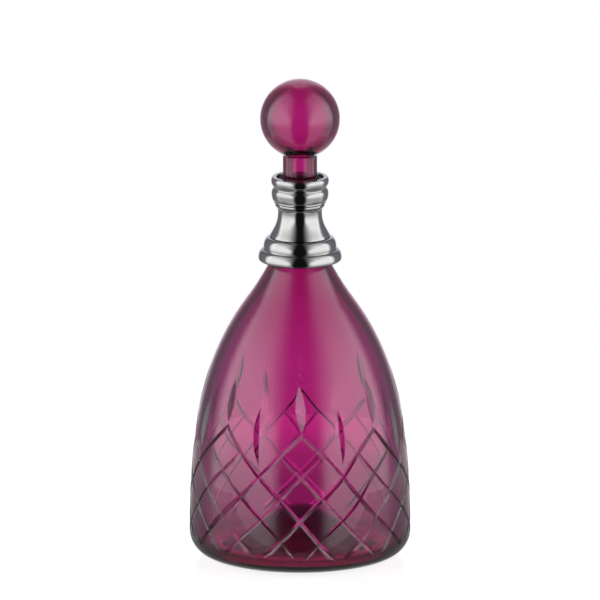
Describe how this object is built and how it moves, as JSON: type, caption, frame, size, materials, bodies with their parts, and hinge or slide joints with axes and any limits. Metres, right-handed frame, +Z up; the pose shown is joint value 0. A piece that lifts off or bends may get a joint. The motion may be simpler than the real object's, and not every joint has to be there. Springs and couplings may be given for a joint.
{
  "type": "perfume bottle",
  "caption": "Bell-shaped glass perfume bottle with a flat base, a stacked polished metal collar round its neck and a ball stopper that lifts out and turns.",
  "frame": {"origin": "centre of the flat base, on the surface that the bottle stands on", "axes": "+Z up along the bottle's turning axis; X and Y are free, because the solids are turned round Z"},
  "size_m": [0.1106, 0.1106, 0.2425],
  "materials": {
    "plum_glass": "clear coloured glass, polished, with wheel-cut bright grooves on the body",
    "polished_metal": "bright nickel plate, mirror polished",
    "cement": "set plaster, matt",
    "gasket": "soft silicone, satin",
    "seal": "soft rubber, satin",
    "moulded_plug": "moulded, satin"
  },
  "bodies": {
    "bottle": {"bottle_glass": "plum_glass", "collar_base_ring": "polished_metal", "collar_bell": "polished_metal", "collar_waist_ring": "polished_metal", "collar_cup": "polished_metal", "cement_bed": "cement", "neck_gasket": "gasket"},
    "seal_rings": {"seal_ring_upper": "seal", "seal_ring_lower": "seal"},
    "stopper": {"stopper_plug": "moulded_plug", "stopper_glass": "plum_glass"}
  },
  "joints": [
    {"name": "stopper_lift", "type": "slide", "parent": "bottle", "child": "seal_rings", "axis": [0, 0, 1], "range_m": [0, 0.03]},
    {"name": "stopper_twist", "type": "hinge", "parent": "seal_rings", "child": "stopper", "pos_m": [0, 0, 0.1909], "axis": [0, 0, 1], "continuous": true}
  ]
}
